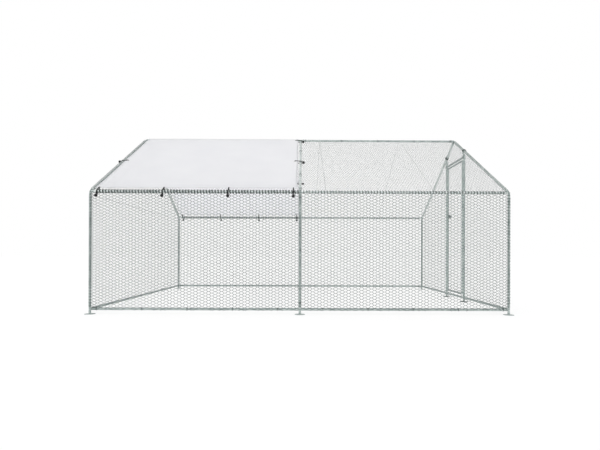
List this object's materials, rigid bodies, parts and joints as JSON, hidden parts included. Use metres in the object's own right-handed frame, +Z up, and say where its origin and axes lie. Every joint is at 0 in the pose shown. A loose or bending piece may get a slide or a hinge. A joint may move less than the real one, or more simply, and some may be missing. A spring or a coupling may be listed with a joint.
{
  "type": "chicken run",
  "caption": "Walk-in gabled chicken run: plug-together galvanised tube frame, hexagonal wire netting, hinged latching door in one end and a cover tied over half the roof.",
  "frame": {"origin": "centre of the footprint, on the ground that the feet stand on", "axes": "+X along the run towards the gable with the door, -Y towards the front long side, +Z up"},
  "size_m": [4.1, 3.0998, 2.0666],
  "materials": {
    "galvanised_tube": "dull zinc",
    "net_wire": "dull zinc",
    "cover_sheet": "coated woven sheet",
    "grommet_metal": "satin",
    "elastic_cord": "braided sleeve",
    "ball_plastic": "moulded",
    "plated_hardware": "zinc plated"
  },
  "bodies": {
    "frame": {"post_feet": "galvanised_tube", "door_feet": "galvanised_tube", "front_left_post": "galvanised_tube", "front_middle_post": "galvanised_tube", "front_right_post": "galvanised_tube", "back_left_post": "galvanised_tube", "back_middle_post": "galvanised_tube", "back_right_post": "galvanised_tube", "hinge_post": "galvanised_tube", "latch_post": "galvanised_tube", "eave_connectors": "galvanised_tube", "ridge_connectors": "galvanised_tube", "front_left_rafter": "galvanised_tube", "front_middle_rafter": "galvanised_tube", "front_right_rafter": "galvanised_tube", "back_left_rafter": "galvanised_tube", "back_middle_rafter": "galvanised_tube", "back_right_rafter": "galvanised_tube", "front_left_base_rail": "galvanised_tube", "front_right_base_rail": "galvanised_tube", "back_left_base_rail": "galvanised_tube", "back_right_base_rail": "galvanised_tube", "left_end_base_rail": "galvanised_tube", "right_end_base_rails": "galvanised_tube", "threshold_rail": "galvanised_tube", "front_left_eave_rail": "galvanised_tube", "front_right_eave_rail": "galvanised_tube", "back_left_eave_rail": "galvanised_tube", "back_right_eave_rail": "galvanised_tube", "left_ridge_rail": "galvanised_tube", "right_ridge_rail": "galvanised_tube", "door_lintel": "galvanised_tube", "front_net": "net_wire", "back_net": "net_wire", "front_roof_net": "net_wire", "back_roof_net": "net_wire", "left_gable_net": "net_wire", "right_gable_front_net": "net_wire", "right_gable_back_net": "net_wire", "right_gable_top_net": "net_wire", "cover": "cover_sheet", "grommets": "grommet_metal", "bungee_loops": "elastic_cord", "bungee_balls": "ball_plastic", "frame_bolts": "plated_hardware", "frame_nuts": "plated_hardware", "frame_screws": "plated_hardware", "hinge_hooks": "plated_hardware", "hook_nuts": "plated_hardware", "latch_keeper": "plated_hardware"},
    "door": {"hinge_stile": "galvanised_tube", "latch_stile": "galvanised_tube", "door_top_rail": "galvanised_tube", "door_bottom_rail": "galvanised_tube", "door_net": "net_wire", "hinge_eyes": "plated_hardware", "eye_nuts": "plated_hardware", "latch_plate": "plated_hardware", "latch_screws": "plated_hardware"},
    "latch_bolt": {"latch_bolt": "plated_hardware"}
  },
  "joints": [
    {"name": "door_hinge", "type": "hinge", "parent": "frame", "child": "door", "pos_m": [2, -0.32795, 0.9], "axis": [0, 0, -1], "range_deg": [0, 110]},
    {"name": "latch_slide", "type": "slide", "parent": "door", "child": "latch_bolt", "axis": [0, 1, 0], "range_m": [0, 0.033]}
  ]
}
